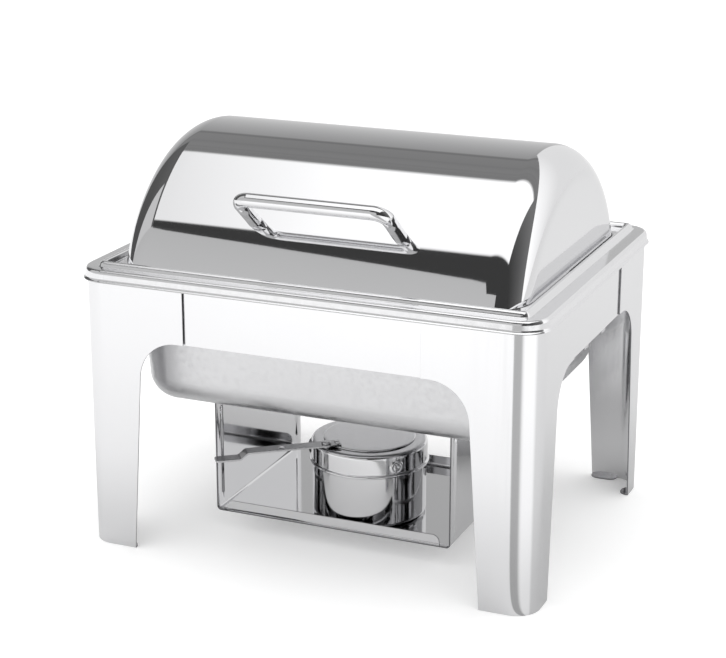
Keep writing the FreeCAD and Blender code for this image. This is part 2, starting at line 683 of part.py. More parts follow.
def burner_shelf():
    """Tray with two side plates and top flanges, folded from one sheet."""
    body = new_body("burner_shelf")
    gauge, half = cell("shelf_gauge"), cell("shelf_length") / 2
    front, rear = -cell("shelf_front"), cell("shelf_rear")
    low, high = cell("shelf_bottom"), cell("tub_bottom")
    block(body, "shelf_blank", (-half, front, low), (half, rear, high))
    doc.recompute()

    def bottom_fold(edge):
        place = middle(edge)
        return abs(place.z - low.number) < 0.01 and edge.BoundBox.YLength > 50

    soften(body, "shelf_fold", cell("fold_radius"), bottom_fold)
    block(body, "shelf_room", (gauge - half, front - 1, low + gauge), (half - gauge, rear + 1, high + 1),
          cut=True)
    for side, name in ((-1, "left"), (1, "right")):
        x_low, x_high = mirrored(side, half, half + cell("shelf_flange"))
        block(body, f"shelf_flange_{name}", (x_low, front + 4, high - gauge), (x_high, rear - 4, high))
    for name, inner, outer in (("front", front, front + gauge), ("rear", rear - gauge, rear)):
        reach = half - cell("lip_end_gap")
        rise = low + gauge + cell("shelf_lip")
        corners = [(reach, low + 0.2), (reach, rise, wrap(6)), (-reach, rise, wrap(6)), (-reach, low + 0.2)]
        sketch = outline(body, f"shelf_{name}_lip_outline", "XZ_Plane", -outer, corners)
        pad(body, f"shelf_{name}_lip", sketch, gauge)
    for place, y in (("front", front + cell("bead_inset")), ("rear", rear - cell("bead_inset"))):
        for side, name in ((-1, "left"), (1, "right")):
            bead(body, f"bead_{place}_{name}", side, y)
    return body


def bead(body, name, side, y):
    """Long oval bead pressed outwards in a side plate, with a small hole at its top."""
    gauge, half, width = cell("shelf_gauge"), cell("shelf_length") / 2, cell("bead_width") / 2
    low, high, height = cell("bead_bottom"), cell("bead_top"), cell("bead_height")
    grown = [(y + width, low, width - 0.2), (y + width, high, width - 0.2),
             (y - width, high, width - 0.2), (y - width, low, width - 0.2)]
    face = half if side > 0 else -half - height
    outside = outline(body, name + "_outline", "YZ_Plane", face, grown)
    pad(body, name, outside, height)
    slim = width - 1
    hollow = [(y + slim, low + 1, slim - 0.2), (y + slim, high - 1, slim - 0.2),
              (y - slim, high - 1, slim - 0.2), (y - slim, low + 1, slim - 0.2)]
    start = half - gauge if side > 0 else -half - 0.2
    inside = outline(body, name + "_hollow_outline", "YZ_Plane", start, hollow)
    pocket(body, name + "_hollow", inside, gauge + 0.2)
    hole_start = half - 2 if side > 0 else -half - 3
    cylinder(body, name + "_hole", (hole_start, y, high - 5), "X", cell("bead_hole_radius"), 5, cut=True)


# ---------------------------------------------------------------- burner

def turned(body, name, corners):
    """Spin a section, drawn as radius and height, about the body's own Z axis."""
    section = outline(body, name + "_section", "XZ_Plane", 0, corners)
    spun = body.newObject("PartDesign::Revolution", name)
    spun.Profile = section
    spun.ReferenceAxis = (section, ["V_Axis"])
    spun.Angle = 360
    return spun


def pot_piece(label):
    """Empty body whose Z axis is the pot's."""
    body = new_body(label)
    bind(body, "Placement.Base.x", cell("pot_x"))
    bind(body, "Placement.Base.y", cell("pot_y"))
    return body


def pot_body():
    """Plain drawn cup."""
    body = pot_piece("pot_body")
    gauge, radius, bend = cell("pot_gauge"), cell("pot_radius"), cell("pot_floor_radius")
    low, rim = cell("pot_bottom"), cell("pot_rim")
    turned(body, "cup", [(wrap(0), low), (radius, low, bend), (radius, rim), (radius - gauge, rim),
                         (radius - gauge, low + gauge, bend - gauge), (wrap(0), low + gauge)])
    return body


def pot_cap():
    """Slip-on cap with a rolled bead, a round opening, a boss and a slit band."""
    body = pot_piece("pot_cap")
    gauge, radius, bend = cell("pot_gauge"), cell("cap_radius"), cell("cap_edge_radius")
    low, top, opening = cell("cap_bottom"), cell("cap_top"), cell("cap_opening_radius")
    bead_high, bead_out = cell("cap_bead_height"), radius + cell("cap_bead_depth")
    turned(body, "cap", [(radius - gauge, low), (bead_out, low, bead_high * 0.4),
                         (bead_out, low + bead_high, bead_high * 0.4), (radius, low + bead_high),
                         (radius, top, bend), (opening, top),
                         (opening, top - gauge), (radius - gauge, top - gauge, bend - gauge)])
    level = cell("boss_level")
    way = bearing_way(BOSS_BEARING)
    start = way * (radius.number - gauge.number)
    start.z = level.number
    boss = body.newObject("PartDesign::AdditiveCylinder", "cap_boss")
    bind(boss, "Radius", cell("boss_radius"))
    bind(boss, "Height", gauge + cell("boss_height"))
    boss.Placement = Placement(start, Rotation(Vector(0, 0, 1), way))
    hole = body.newObject("PartDesign::SubtractiveCylinder", "boss_hole")
    bind(hole, "Radius", cell("boss_hole_radius"))
    hole.Height = 6
    hole.Placement = Placement(start - way * 2, Rotation(Vector(0, 0, 1), way))
    slit = body.newObject("PartDesign::SubtractiveBox", "cap_slit")
    slit.Length = 4
    bind(slit, "Width", cell("slit_width"))
    bind(slit, "Height", cell("slit_height"))
    corner = bearing_way(SLIT_BEARING) * (radius.number - 2)
    corner.z = (low + cell("slit_rise")).number
    slit.Placement = Placement(corner, Rotation(Vector(0, 0, 1), SLIT_BEARING))
    px, py = swing_point()
    cylinder(body, "rivet_hole", (px - cell("pot_x"), py - cell("pot_y"), top - 3), "Z",
             cell("swing_rivet_radius"), 5, cut=True)
    return body


def bearing_way(bearing):
    """Level unit vector at a bearing in degrees from +X."""
    return Vector(math.cos(math.radians(bearing)), math.sin(math.radians(bearing)), 0)


def swing_point():
    """Plan position of the rivet that the disc and its arm swing about."""
    way = bearing_way(ARM_BEARING) * RIVET_ALONG_ARM
    return ARM_START[0] + way.x, ARM_START[1] + way.y


def swing_rivet():
    """Rivet in the cap: shoulder under the arm, running shank, round head on top."""
    body = new_body("swing_rivet")
    px, py = swing_point()
    top, radius = cell("cap_top"), cell("swing_rivet_radius")
    arm_low = top + cell("disc_gap") + cell("disc_gauge")
    arm_high = arm_low + cell("swing_arm_gauge")
    cylinder(body, "rivet_shank", (px, py, top - cell("pot_gauge") - 1), "Z", radius,
             arm_high - top + cell("pot_gauge") + 1.2)
    cylinder(body, "rivet_shoulder", (px, py, top), "Z", radius * 1.7, arm_low - top - 0.1)
    cylinder(body, "rivet_head", (px, py, arm_high + 0.1), "Z", cell("swing_head_radius"),
             cell("swing_head_height"))
    soften(body, "rivet_dome", cell("swing_head_height") * 0.7,
           on_level((arm_high + 0.1 + cell("swing_head_height")).number))
    cylinder(body, "rivet_foot", (px, py, top - cell("pot_gauge") - 1), "Z", radius * 1.18, 1)
    return body


def regulator_disc():
    """Disc that closes the fuel opening, with a rounded upper edge."""
    body = new_body("regulator_disc")
    low = cell("cap_top") + cell("disc_gap")
    cylinder(body, "disc", (cell("pot_x"), cell("pot_y"), low), "Z", cell("disc_radius"),
             cell("disc_gauge"))
    soften(body, "disc_edge", cell("disc_gauge") * 0.6, on_level((low + cell("disc_gauge")).number))
    for place, hole in zip(disc_rivet_points(), ("near", "far")):
        cylinder(body, f"disc_hole_{hole}", (*place, low - 1), "Z", cell("disc_rivet_radius"), 4,
                 cut=True)
    return body


def disc_rivet_points():
    """Two points under the arm's inner end, over the disc."""
    way = bearing_way(ARM_BEARING) * DISC_RIVETS_ALONG
    across = bearing_way(ARM_BEARING + 90)
    return [(ARM_START[0] + way.x + across.x * shift, ARM_START[1] + way.y + across.y * shift)
            for shift in DISC_RIVETS_ACROSS]


def regulator_arm():
    """Flat strip riveted to the disc, stepped down to a finger plate at its outer end."""
    body = new_body("regulator_arm")
    gauge, run = cell("swing_arm_gauge"), cell("swing_arm_run")
    step, drop, tip = cell("swing_arm_step"), cell("swing_arm_drop"), cell("swing_arm_tip")
    corners = [(wrap(0), wrap(0)), (run, wrap(0)), (run + step, -drop), (run + step + tip, -drop),
               (run + step + tip, gauge - drop), (run + step, gauge - drop), (run, gauge),
               (wrap(0), gauge)]
    side = outline(body, "arm_side", "XZ_Plane", 0, corners)
    pad(body, "arm_strip", side, cell("swing_arm_width"), midplane=True)
    soften(body, "arm_corners", wrap(3), arm_end_edges((run + step + tip).number))
    hole = cell("swing_rivet_radius") + cell("pin_running_gap")
    cylinder(body, "arm_swing_hole", (wrap(RIVET_ALONG_ARM), 0, -1), "Z", hole, 5, cut=True)
    cylinder(body, "arm_grip_hole", (wrap(GRIP_HOLE_ALONG_ARM), 0, -1), "Z",
             cell("grip_hole_radius"), 5, cut=True)
    for shift, name in zip(DISC_RIVETS_ACROSS, ("near", "far")):
        cylinder(body, f"arm_hole_{name}", (wrap(DISC_RIVETS_ALONG), shift, -1), "Z",
                 cell("disc_rivet_radius"), 5, cut=True)
    low = cell("cap_top") + cell("disc_gap") + cell("disc_gauge")
    body.Placement = Placement(Vector(ARM_START[0], ARM_START[1], low.number),
                               Rotation(Vector(0, 0, 1), ARM_BEARING))
    return body


def arm_end_edges(reach):
    """Test for the upright edges at the arm's outer end."""
    def test(edge):
        place, box = middle(edge), edge.BoundBox
        return abs(place.x - reach) < 0.01 and box.YLength < 0.01 and box.ZLength > 0.5
    return test


def disc_rivets():
    """Two small flush rivets that join the arm to the disc."""
    pieces = []
    low = cell("cap_top") + cell("disc_gap")
    length = cell("disc_gauge") + cell("swing_arm_gauge")
    for place, name in zip(disc_rivet_points(), ("near", "far")):
        shank = doc.addObject("Part::Cylinder", f"disc_rivet_shank_{name}")
        bind(shank, "Radius", cell("disc_rivet_radius"))
        bind(shank, "Height", length)
        shank.Placement.Base = Vector(*place, low.number)
        head = doc.addObject("Part::Cylinder", f"disc_rivet_head_{name}")
        bind(head, "Radius", cell("disc_rivet_head_radius"))
        bind(head, "Height", cell("disc_rivet_head_height"))
        head.Placement.Base = Vector(*place, (low + length).number)
        rivet = doc.addObject("Part::Fuse", f"disc_rivet_{name}")
        rivet.Base, rivet.Tool = shank, head
        pieces.append(rivet)
    group = doc.addObject("Part::Compound", "disc_rivets")
    group.Links = pieces
    group.Label = "disc_rivets"
    return group


# ---------------------------------------------------------------- the whole object

def build():
    nodes = []
    for depth_name, side_y in (("front", -1), ("rear", 1)):
        for side_name, side_x in (("left", -1), ("right", 1)):
            nodes.append(leg(f"leg_{depth_name}_{side_name}", side_x, side_y))
    for name, along_x, side in (("front", True, -1), ("rear", True, 1),
                                ("left", False, -1), ("right", False, 1)):
        nodes.append(apron(f"apron_{name}", along_x, side))
    nodes += [rim_frame(), water_pan(), food_pan(), burner_shelf()]
    nodes += [lid_shell(), lid_handle(), handle_screws()]
    for name, side in (("left", -1), ("right", 1)):
        nodes += [lid_arm(f"lid_arm_{name}", side), pivot_bracket(f"pivot_bracket_{name}", side),
                  pivot_pin(f"pivot_pin_{name}", side), pivot_washer(f"pivot_washer_{name}", side)]
    nodes += [pot_body(), pot_cap(), swing_rivet(), regulator_disc(), regulator_arm(), disc_rivets()]
    return nodes


def check(nodes):
    """Stop if any object failed or any sub-part has no valid shape."""
    for thing in doc.Objects:
        if {"Invalid", "Error"} & set(thing.State):
            raise RuntimeError(f"{thing.Name} failed: {thing.State}")
    for node in nodes:
        if node.Shape.isNull() or not node.Shape.isValid():
            raise RuntimeError(f"{node.Label} has no valid shape")


os.makedirs("parts", exist_ok=True)
parts = build()
doc.recompute()
check(parts)
for part in parts:
    part.Shape.exportStep(f"parts/{part.Label}.step")
    box = part.Shape.BoundBox
    print(f"{part.Label:22s} solids {len(part.Shape.Solids)} volume {part.Shape.Volume:10.0f} "
          f"x {box.XMin:7.1f} {box.XMax:7.1f} y {box.YMin:7.1f} {box.YMax:7.1f} "
          f"z {box.ZMin:7.1f} {box.ZMax:7.1f}")
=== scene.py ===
"""Roll top chafer in polished stainless steel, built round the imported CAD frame."""
import math

import bmesh
import bpy
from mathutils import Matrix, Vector


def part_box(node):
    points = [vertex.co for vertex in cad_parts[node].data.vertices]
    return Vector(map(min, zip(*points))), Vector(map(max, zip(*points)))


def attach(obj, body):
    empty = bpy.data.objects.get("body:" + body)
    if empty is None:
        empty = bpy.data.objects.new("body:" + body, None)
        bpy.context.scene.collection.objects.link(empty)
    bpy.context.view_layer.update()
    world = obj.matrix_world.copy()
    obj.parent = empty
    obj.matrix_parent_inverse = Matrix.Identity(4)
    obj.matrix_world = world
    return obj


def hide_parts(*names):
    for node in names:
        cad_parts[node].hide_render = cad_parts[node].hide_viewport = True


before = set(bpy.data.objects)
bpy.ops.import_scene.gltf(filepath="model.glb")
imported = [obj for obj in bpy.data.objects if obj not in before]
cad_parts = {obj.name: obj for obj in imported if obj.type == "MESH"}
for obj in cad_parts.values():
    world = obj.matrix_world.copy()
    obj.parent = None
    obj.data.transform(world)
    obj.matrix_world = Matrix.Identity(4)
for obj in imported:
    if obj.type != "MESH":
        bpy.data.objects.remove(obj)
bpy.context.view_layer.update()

MM = 0.001
SHEET = 1.2 * MM                    # stand and shelf
PLATE = 1.0 * MM                    # rim, lid and water pan
THIN = 0.8 * MM                     # pot and cap
ARC_STEPS = 10

# Shared sizes in mm
STAND_X, STAND_Y = 200, 158         # outside faces of the legs, from the middle
APRON_BOTTOM = 187.5
RIM_BOTTOM, RIM_TOP = 233.6, 243.5
RING_X, RING_Y = 187, 149           # outside of the raised ring, from the middle
AXIS_HEIGHT, LID_RADIUS = 196.0, 147.5
SHELF_X = 108.0                     # outside faces of the shelf's side plates
CAP_RADIUS = 50.1


# ---------------------------------------------------------------- shape helpers

def rounded_path(points, steps=ARC_STEPS, closed=False):
    """Points of straight runs. A corner is (u, v) or (u, v, radius), with a tangent arc."""
    out = []
    last = len(points) - 1
    for place, point in enumerate(points):
        here = Vector(point[:2])
        radius = point[2] if len(point) > 2 else 0.0
        if radius <= 0 or (not closed and place in (0, last)):
            out.append(here)
            continue
        back = (Vector(points[place - 1][:2]) - here).normalized()
        ahead = (Vector(points[(place + 1) % len(points)][:2]) - here).normalized()
        half = back.angle(ahead) / 2
        centre = here + (back + ahead).normalized() * (radius / math.sin(half))
        spoke = here + back * (radius / math.tan(half)) - centre
        turn = math.copysign(math.pi - 2 * half, -(back.x * ahead.y - back.y * ahead.x))
        for step in range(steps + 1):
            angle = turn * step / steps
            c, s = math.cos(angle), math.sin(angle)
            out.append(centre + Vector((spoke.x * c - spoke.y * s, spoke.x * s + spoke.y * c)))
    return out


def rectangle(half_x, half_y, radius):
    """Rounded rectangle about the origin, as points in plan."""
    corners = [(half_x, half_y), (-half_x, half_y), (-half_x, -half_y), (half_x, -half_y)]
    return rounded_path([(x, y, max(radius, 0.2 * MM)) for x, y in corners], closed=True)


def add_loop(bm, points):
    """Vertices at the points."""
    return [bm.verts.new(point) for point in points]


def bridge(bm, first, second, closed=True):
    """Faces between two loops of equal length."""
    count = len(first)
    for k in range(count if closed else count - 1):
        m = (k + 1) % count
        bm.faces.new((first[k], first[m], second[m], second[k]))


def loft(bm, loops, closed=True):
    """Skin through loops of equal length. Returns the loops' vertices."""
    made = [add_loop(bm, points) for points in loops]
    for first, second in zip(made, made[1:]):
        bridge(bm, first, second, closed)
    return made


def fill(bm, outlines, place):
    """Flat sheet bounded by an outline and any holes; place puts a plan point in space."""
    edges = []
    for outline in outlines:
        verts = [bm.verts.new(place(point)) for point in outline]
        edges += [bm.edges.new((verts[k - 1], verts[k])) for k in range(len(verts))]
    bmesh.ops.triangle_fill(bm, edges=edges, use_beauty=True)


def lathe(bm, profile, centre, segments=96, skip=None):
    """Spin a (radius, height) profile about a vertical axis; skip leaves faces out."""
    loops = []
    for radius, height in profile:
        loops.append([(centre[0] + radius * math.cos(math.tau * k / segments),
                       centre[1] + radius * math.sin(math.tau * k / segments), height)
                      for k in range(segments)])
    made = [add_loop(bm, points) for points in loops]
    for row, (first, second) in enumerate(zip(made, made[1:])):
        for k in range(segments):
            if skip and skip(row, k):
                continue
            m = (k + 1) % segments
            bm.faces.new((first[k], first[m], second[m], second[k]))
    return made


def face_outwards(bm, centre):
    """Turn every face so that the skin as a whole faces away from a point."""
    bmesh.ops.recalc_face_normals(bm, faces=bm.faces)
    outward = sum((f.calc_center_median() - centre).dot(f.normal) * f.calc_area() for f in bm.faces)
    if outward < 0:
        bmesh.ops.reverse_faces(bm, faces=bm.faces)


def piece(name, bm, body, material, stands_for=(), centre=None, gauge=None, bevel=0.25 * MM,
          cut_edge_and_seam_shade=None):
    """Turn a skin into a finished object that rides on its body."""
    bmesh.ops.remove_doubles(bm, verts=bm.verts, dist=0.01 * MM)
    bmesh.ops.dissolve_degenerate(bm, dist=0.001 * MM, edges=bm.edges)
    if centre is not None:
        face_outwards(bm, Vector(centre))
    for face in bm.faces:
        face.smooth = True
    mesh = bpy.data.meshes.new(name)
    bm.to_mesh(mesh)
    bm.free()
    obj = bpy.data.objects.new(name, mesh)
    bpy.context.scene.collection.objects.link(obj)
    mesh.materials.append(material)
    if gauge:
        solid = obj.modifiers.new("gauge", "SOLIDIFY")
        solid.thickness = gauge
        solid.offset = -1
        solid.use_even_offset = True
        # Sheet edges take the dark cut-edge grey, which is partly painted shade for the seams.
        if cut_edge_and_seam_shade:
            mesh.materials.append(cut_edge_and_seam_shade)
            solid.material_offset_rim = 1
    if bevel:
        edge = obj.modifiers.new("edges", "BEVEL")
        edge.width = bevel
        edge.segments = 2
        edge.limit_method = "ANGLE"
        edge.angle_limit = math.radians(40)
    weigh = obj.modifiers.new("normals", "WEIGHTED_NORMAL")
    weigh.weight = 100
    weigh.keep_sharp = True
    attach(obj, body)
    if stands_for:
        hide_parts(*stands_for)
    return obj


# ---------------------------------------------------------------- materials

def new_material(name):
    """Node material, with its nodes and links."""
    material = bpy.data.materials.new(name)
    material.use_nodes = True
    return material, material.node_tree.nodes, material.node_tree.links


def noise_at(nodes, links, scale, stretch=(1, 1, 1), detail=4.0):
    """Noise on the object's own coordinates, stretched along one of them."""
    coords = nodes.new("ShaderNodeTexCoord")
    mapping = nodes.new("ShaderNodeMapping")
    mapping.inputs["Scale"].default_value = stretch
    noise = nodes.new("ShaderNodeTexNoise")
    noise.inputs["Scale"].default_value = scale
    noise.inputs["Detail"].default_value = detail
    links.new(coords.outputs["Object"], mapping.inputs["Vector"])
    links.new(mapping.outputs["Vector"], noise.inputs["Vector"])
    return noise


def span(nodes, links, value, low, high, start=0.35, stop=0.65):
    """Spread a noise value from one number to another."""
    node = nodes.new("ShaderNodeMapRange")
    node.inputs["From Min"].default_value = start
    node.inputs["From Max"].default_value = stop
    node.inputs["To Min"].default_value = low
    node.inputs["To Max"].default_value = high
    links.new(value, node.inputs["Value"])
    return node.outputs["Result"]


def steel(name, color, rough, grain=(1, 1, 1), scratch=0.02, wave=0.0, smudge=0.03):
    """Stainless steel: a polish grain, hairline scratches, smudges and slight sheet waviness."""
    material, nodes, links = new_material(name)
    shader = nodes["Principled BSDF"]
    shader.inputs["Metallic"].default_value = 1.0
    blotch = noise_at(nodes, links, 9.0, detail=3.0)
    tint = nodes.new("ShaderNodeMix")
    tint.data_type = "RGBA"
    tint.inputs["A"].default_value = (*[c * 0.97 for c in color], 1)
    tint.inputs["B"].default_value = (*color, 1)
    links.new(blotch.outputs["Fac"], tint.inputs["Factor"])
    links.new(tint.outputs["Result"], shader.inputs["Base Color"])
    lines = noise_at(nodes, links, 260.0, grain, detail=6.0)
    marks = noise_at(nodes, links, 26.0, detail=5.0)
    total = nodes.new("ShaderNodeMath")
    total.operation = "ADD"
    links.new(span(nodes, links, lines.outputs["Fac"], rough * 0.8, rough * 1.2), total.inputs[0])
    links.new(span(nodes, links, marks.outputs["Fac"], 0.0, smudge, 0.5, 0.75), total.inputs[1])
    links.new(total.outputs["Value"], shader.inputs["Roughness"])
    fine = nodes.new("ShaderNodeBump")
    fine.inputs["Strength"].default_value = scratch
    fine.inputs["Distance"].default_value = 0.05 * MM
    links.new(lines.outputs["Fac"], fine.inputs["Height"])
    if wave:
        sway = noise_at(nodes, links, 14.0, detail=1.0)
        slow = nodes.new("ShaderNodeBump")
        slow.inputs["Strength"].default_value = 1.0
        slow.inputs["Distance"].default_value = wave
        links.new(sway.outputs["Fac"], slow.inputs["Height"])
        links.new(slow.outputs["Normal"], fine.inputs["Normal"])
    links.new(fine.outputs["Normal"], shader.inputs["Normal"])
    return material


LID = steel("lid_polish", (0.80, 0.80, 0.81), 0.045, (0.02, 1, 1), 0.05, smudge=0.0)
RIM = steel("rim_polish", (0.82, 0.82, 0.83), 0.14, (1, 1, 1), 0.04, smudge=0.01)
LEG = steel("leg_polish", (0.80, 0.80, 0.81), 0.13, (1, 1, 0.03), 0.06, wave=0.012 * MM, smudge=0.0)
APRON = steel("apron_polish", (0.80, 0.80, 0.81), 0.11, (1, 1, 0.03), 0.06, wave=0.012 * MM, smudge=0.0)
TUB = steel("tub_satin", (0.72, 0.72, 0.73), 0.36, (1, 1, 1), 0.0, smudge=0.0)
PAN = steel("pan_satin", (0.82, 0.82, 0.83), 0.42, (1, 1, 1), 0.0, smudge=0.0)
SHELF = steel("shelf_polish", (0.76, 0.76, 0.77), 0.07, (1, 0.05, 1), 0.05, wave=0.015 * MM, smudge=0.0)
POT_STEEL = steel("pot_polish", (0.68, 0.68, 0.69), 0.08, (1, 1, 0.04), 0.05, smudge=0.01)
CAP = steel("cap_polish", (0.78, 0.78, 0.79), 0.08, (1, 1, 0.1), 0.05, smudge=0.01)
DISC = steel("disc_polish", (0.84, 0.84, 0.85), 0.22, (1, 1, 1), 0.05, wave=0.01 * MM, smudge=0.0)
ARM = steel("arm_polish", (0.48, 0.48, 0.49), 0.16, (1, 1, 1), 0.05, smudge=0.01)
ROD = steel("handle_polish", (0.80, 0.80, 0.81), 0.06, (0.1, 1, 1), 0.04, smudge=0.0)
FASTENER = steel("fastener_bright", (0.70, 0.70, 0.71), 0.22)
BRACKET = steel("bracket_plain", (0.62, 0.62, 0.63), 0.32)
# Dark grey for the sheets' cut edges: cut edges are duller than the polish, and the dark also stands in as
# painted shade in the seams between legs and aprons.
CUT_EDGE_AND_SEAM_SHADE = steel("cut_edge_and_seam_shade", (0.30, 0.30, 0.31), 0.40)

NODE_MATERIALS = {"handle_screws": FASTENER, "swing_rivet": FASTENER, "disc_rivets": FASTENER}
for side in ("left", "right"):
    NODE_MATERIALS[f"lid_arm_{side}"] = BRACKET
    NODE_MATERIALS[f"pivot_bracket_{side}"] = BRACKET
    NODE_MATERIALS[f"pivot_pin_{side}"] = FASTENER
    NODE_MATERIALS[f"pivot_washer_{side}"] = FASTENER


def dress_nodes():
    """Give the CAD pieces that stay their materials."""
    for name, material in NODE_MATERIALS.items():
        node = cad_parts[name]
        if not node.material_slots:
            node.data.materials.append(material)
        for place in node.material_slots:
            place.material = material


# ---------------------------------------------------------------- stand

def outwards(depth, side):
    """Signs of the two directions that point out of the stand at one leg."""
    return (-1 if side == "left" else 1), (-1 if depth == "front" else 1)


def leg(depth, side):
    """Folded corner leg: two flat wings with an arched cut-out, joined by a rounded fold."""
    across, along = outwards(depth, side)
    corner_x, corner_y = STAND_X * MM * across, STAND_Y * MM * along
    fold, arch, bottom = 21 * MM, 34 * MM, APRON_BOTTOM * MM
    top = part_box(f"leg_{depth}_{side}")[1].z
    bm = bmesh.new()
    # Width of each wing at its top, under the arch and at the foot, and the axis it faces along
    for wing, waist, foot, flat in ((96.3, 57.5, 45.0, "y"), (92.0, 52.5, 38.5, "x")):
        edge = rounded_path([(wing * MM, top), (wing * MM, bottom), (waist * MM, bottom, arch),
                             (foot * MM, 0.0)], steps=16)
        rows = [top * k / 12 for k in range(13)]
        outline = edge + [Vector((fold, height)) for height in rows]
        if flat == "y":
            fill(bm, [outline], lambda p: (corner_x - across * p.x, corner_y, p.y))
        else:
            fill(bm, [outline], lambda p: (corner_x, corner_y - along * p.x, p.y))
    turn = []
    for k in range(17):
        angle = math.pi / 2 * k / 16
        turn.append((corner_x - across * fold * (1 - math.sin(angle)),
                     corner_y - along * fold * (1 - math.cos(angle))))
    loft(bm, [[(x, y, top * k / 12) for k in range(13)] for x, y in turn], closed=False)
    name = f"leg_sheet_{depth}_{side}"
    return piece(name, bm, "frame", LEG, (f"leg_{depth}_{side}",),
                 centre=(0, 0, top / 2), gauge=SHEET, bevel=0.3 * MM, cut_edge_and_seam_shade=CUT_EDGE_AND_SEAM_SHADE)


def foot_tabs(depth, side):
    """The two small feet bent inwards under one leg."""
    across, along = outwards(depth, side)
    start, reach, rounding = 1.2, 9.0, 7
    bm = bmesh.new()
    for near, length, flat in ((45.0, 24.0, "y"), (38.5, 16.8, "x")):
        far = near - length
        outline = rounded_path([(near, start), (near, reach, rounding), (far, reach, rounding), (far, start)],
                               closed=True)
        if flat == "y":
            fill(bm, [outline],
                 lambda p: (across * (STAND_X - p.x) * MM, along * (STAND_Y - p.y) * MM, SHEET))
        else:
            fill(bm, [outline],
                 lambda p: (across * (STAND_X - p.y) * MM, along * (STAND_Y - p.x) * MM, SHEET))
    return piece(f"foot_tabs_{depth}_{side}", bm, "frame", LEG,
                 centre=(0, 0, -1), gauge=SHEET, bevel=0.25 * MM, cut_edge_and_seam_shade=CUT_EDGE_AND_SEAM_SHADE)


def apron(name, along_x, side):
    """Flat panel set back behind the legs' wings, further at the front and rear."""
    low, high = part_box(f"apron_{name}")
    bm = bmesh.new()
    if along_x:
        face = side * (STAND_Y * MM - SHEET * 1.9)
        corners = [(low.x, low.z), (high.x, low.z), (high.x, high.z), (low.x, high.z)]
        fill(bm, [[Vector(c) for c in corners]], lambda p: (p.x, face, p.y))
    else:
        face = side * (STAND_X * MM - SHEET * 1.05)
        corners = [(low.y, low.z), (high.y, low.z), (high.y, high.z), (low.y, high.z)]
        fill(bm, [[Vector(c) for c in corners]], lambda p: (face, p.x, p.y))
    return piece(f"apron_panel_{name}", bm, "frame", APRON, (f"apron_{name}",),
                 centre=(0, 0, 0.2), gauge=SHEET * 0.9, bevel=0.2 * MM, cut_edge_and_seam_shade=CUT_EDGE_AND_SEAM_SHADE)


# ---------------------------------------------------------------- rim and pans

def rim():
    """Pressed top: flared lip, skirt, flange, rounded ring, and a plate with slot and opening."""
    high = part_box("rim_frame")[1]
    reach_x, reach_y, corner = high.x / MM, high.y / MM, 25.8
    bm = bmesh.new()
    # Lip, skirt and rolled edge as (inset, height), then the ring as (inset, height, corner radius)
    lip = [(0.0, 0.0), (0.1, 0.5), (0.6, 1.0), (1.2, 1.4), (1.5, 2.0)]
    section = [(inset, RIM_BOTTOM + rise) for inset, rise in lip]
    section += [(1.7, 236.6), (2.1, 240.3), (2.3, 241.4), (2.9, 242.6), (3.8, 243.3), (5.0, RIM_TOP)]
    loops = []
    for inset, height in section:
        plan = rectangle((reach_x - inset) * MM, (reach_y - inset) * MM, (corner - inset) * MM)
        loops.append([(x, y, height * MM) for x, y in plan])
    ring = [(-1.6, RIM_TOP, 7.6), (-0.7, 243.6, 6.7), (-0.1, 244.1, 6.1), (0.3, 245.4, 5.7),
            (0.9, 246.7, 5.1), (2.0, 247.7, 4.2), (3.5, 248.0, 3.4), (5.0, 247.7, 2.8), (6.1, 246.7, 2.4),
            (6.7, 245.4, 2.2), (7.1, 244.1, 2.0), (7.4, 243.6, 2.0), (8.0, RIM_TOP, 2.0)]
    for inset, height, radius in ring:
        plan = rectangle((RING_X - inset) * MM, (RING_Y - inset) * MM, radius * MM)
        loops.append([(x, y, height * MM) for x, y in plan])
    loft(bm, loops)
    last_inset, _, last_radius = ring[-1]
    inside = rectangle((RING_X - last_inset) * MM, (RING_Y - last_inset) * MM, last_radius * MM)
    opening = rectangle(153.5 * MM, 123.5 * MM, 27 * MM)
    fill(bm, [inside, roll_slot_outline(), opening], lambda p: (p.x, p.y, RIM_TOP * MM))
    return piece("rim_pressing", bm, "frame", RIM, ("rim_frame",),
                 centre=(0, 0, 0.1), gauge=PLATE, bevel=0.15 * MM, cut_edge_and_seam_shade=CUT_EDGE_AND_SEAM_SHADE)


def roll_slot_outline():
    """Plan of the slot that the lid's skirt rolls down through, open towards the front."""
    rise, front = 47.0, -10.5
    outer_x, inner_x = 177.9, 174.0
    edges = []
    for x, reach, rounding in ((outer_x, 147.9, 30.9), (inner_x, 145.6, 28.1)):
        side = rounded_path([(x, rise), (x, reach, rounding), (-x, reach, rounding), (-x, rise)], steps=16)
        edges.append([Vector((p.x, math.sqrt(max(p.y * p.y - rise * rise, 0.0)))) * MM for p in side])
    outer, inner = edges
    ends = [Vector((x * MM, front * MM)) for x in (-outer_x, -inner_x, inner_x, outer_x)]
    return outer + [ends[0], ends[1]] + inner[::-1] + [ends[2], ends[3]]


def tray(top, drop, half_x, half_y, corner, taper, bend, rows=8):
    """Loops of a drawn tray from its top edge down to the flat of its floor, in mm."""
    lean = math.tan(math.radians(taper))
    loops = []
    for k in range(rows + 1):
        fall = (drop - bend) * k / rows
        loops.append((half_x - fall * lean, half_y - fall * lean, max(corner - fall * lean, 2), top - fall))
    inset = (drop - bend) * lean
    for k in range(1, 13):
        angle = math.pi / 2 * k / 12
        pull = bend * (1 - math.cos(angle))
        loops.append((half_x - inset - pull, half_y - inset - pull, max(corner - inset - pull, 2),
                      top - drop + bend * (1 - math.sin(angle))))
    return loops


def tray_skin(bm, loops):
    """Skin the loops, which run downwards, and close the floor."""
    made = loft(bm, [[(x, y, height * MM) for x, y in rectangle(half_x * MM, half_y * MM, corner * MM)]
                     for half_x, half_y, corner, height in loops])
    centre = bm.verts.new((0, 0, loops[-1][3] * MM))
    last = made[-1]
    for k in range(len(last)):
        bm.faces.new((last[k - 1], last[k], centre))


